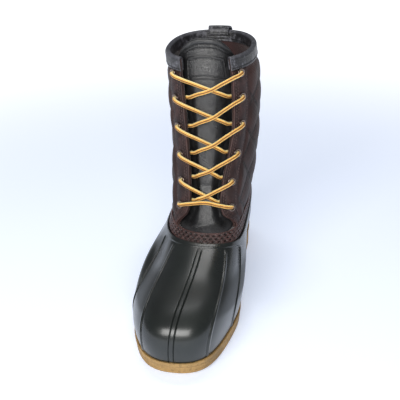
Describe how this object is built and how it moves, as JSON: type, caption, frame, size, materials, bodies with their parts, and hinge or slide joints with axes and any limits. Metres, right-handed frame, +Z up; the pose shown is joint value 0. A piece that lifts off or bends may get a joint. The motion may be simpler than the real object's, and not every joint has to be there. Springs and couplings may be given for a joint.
{
  "type": "duck boot",
  "caption": "Empty lace-up duck boot for the right foot: moulded rubber shell on a gum sole, quilted shaft above, padded tongue and a pull loop at the back.",
  "frame": {"origin": "middle of the boot's bounding box, on the ground under the sole", "axes": "+Z up; +Y from the toe to the heel, so the toe points to -Y; +X towards the medial side"},
  "size_m": [0.1, 0.2858, 0.2442],
  "materials": {
    "gum_sole": "matt gum rubber",
    "footbed": "brushed lining over foam",
    "shell_rubber": "satin moulded rubber",
    "quilt": "quilted, softly worn",
    "brown_leather": "semi-matt, worn",
    "dark_leather": "semi-matt, worn",
    "tongue_leather": "satin",
    "gunmetal": "dark, rolled",
    "lace_cord": "braided, with a brown stripe"
  },
  "bodies": {
    "root": {"outsole": "gum_sole", "insole": "footbed", "shell": "shell_rubber", "shaft": "quilt", "stitch_band": "brown_leather", "eyestay_lateral": "brown_leather", "eyestay_medial": "brown_leather", "collar_binding": "dark_leather", "pull_tab": "dark_leather", "tongue": "tongue_leather", "eyelet_lateral_1": "gunmetal", "eyelet_lateral_2": "gunmetal", "eyelet_lateral_3": "gunmetal", "eyelet_lateral_4": "gunmetal", "eyelet_lateral_5": "gunmetal", "eyelet_lateral_6": "gunmetal", "eyelet_medial_1": "gunmetal", "eyelet_medial_2": "gunmetal", "eyelet_medial_3": "gunmetal", "eyelet_medial_4": "gunmetal", "eyelet_medial_5": "gunmetal", "eyelet_medial_6": "gunmetal", "lace_bar": "lace_cord", "lace_cross_1": "lace_cord", "lace_cross_2": "lace_cord", "lace_cross_3": "lace_cord", "lace_cross_4": "lace_cord", "lace_cross_5": "lace_cord"}
  },
  "joints": []
}
